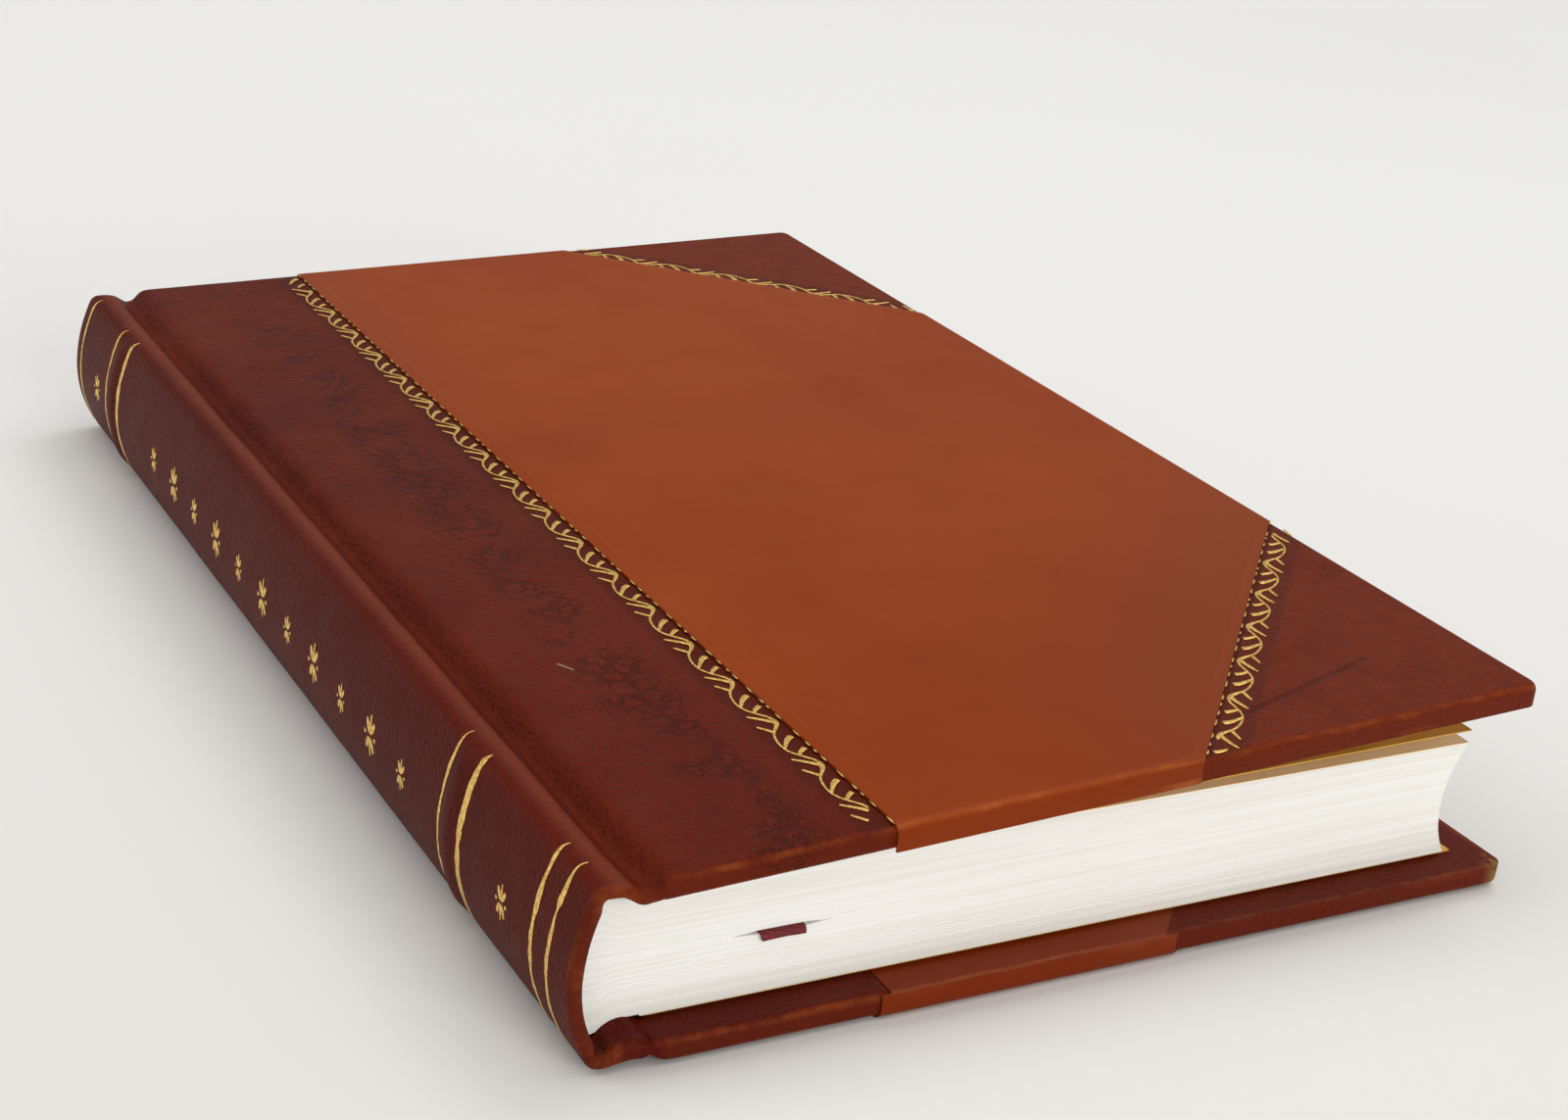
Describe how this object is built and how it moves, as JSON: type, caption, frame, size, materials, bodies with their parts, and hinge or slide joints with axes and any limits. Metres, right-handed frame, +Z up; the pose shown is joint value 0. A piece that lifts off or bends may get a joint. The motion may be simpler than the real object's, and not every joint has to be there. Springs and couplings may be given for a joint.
{
  "type": "antique leather book",
  "caption": "Half-leather hardcover book with rounded spine, raised bands, leather corners, smooth sides, gilt ornament, ribbon marker and two hinged covers.",
  "frame": {"origin": "under the middle of the book's bounding box, on the face that it lies on", "axes": "+X from the spine to the fore-edge, +Y from the tail to the head, +Z up through the front cover"},
  "size_m": [0.1596, 0.235, 0.0353],
  "materials": {
    "dark_leather": "burgundy brown calf, fine grain, satin",
    "tan_leather": "smooth orange-brown leather, satin",
    "pages": "cut page edges, off-white",
    "endpaper": "plain ochre paper, matt",
    "greyboard": "dense grey board",
    "card": "stiff card",
    "mull": "open-weave cotton lining, glued",
    "ribbon": "deep red ribbon, soft sheen",
    "gilt": "blocked gold leaf, worn"
  },
  "bodies": {
    "root": {"text_block": "pages", "spine_leather": "dark_leather", "spine_lining": "mull", "spine_inlay": "card", "raised_band_tail": "card", "raised_band_head": "card", "ribbon_marker": "ribbon", "front_flyleaf": "endpaper", "front_second_leaf": "endpaper", "back_flyleaf": "endpaper"},
    "front_cover": {"front_board": "greyboard", "front_spine_strip": "dark_leather", "front_side": "tan_leather", "front_corner_tail": "dark_leather", "front_corner_head": "dark_leather", "front_pastedown": "endpaper"},
    "back_cover": {"back_board": "greyboard", "back_spine_strip": "dark_leather", "back_side": "tan_leather", "back_corner_tail": "dark_leather", "back_corner_head": "dark_leather", "back_pastedown": "endpaper"}
  },
  "joints": [
    {"name": "front_joint", "type": "hinge", "parent": "root", "child": "front_cover", "pos_m": [-0.07025, 0, 0.0278], "axis": [0, -1, 0], "range_deg": [0, 170]},
    {"name": "back_joint", "type": "hinge", "parent": "root", "child": "back_cover", "pos_m": [-0.06875, 0, 0.0003], "axis": [0, 1, 0], "range_deg": [0, 170]}
  ]
}
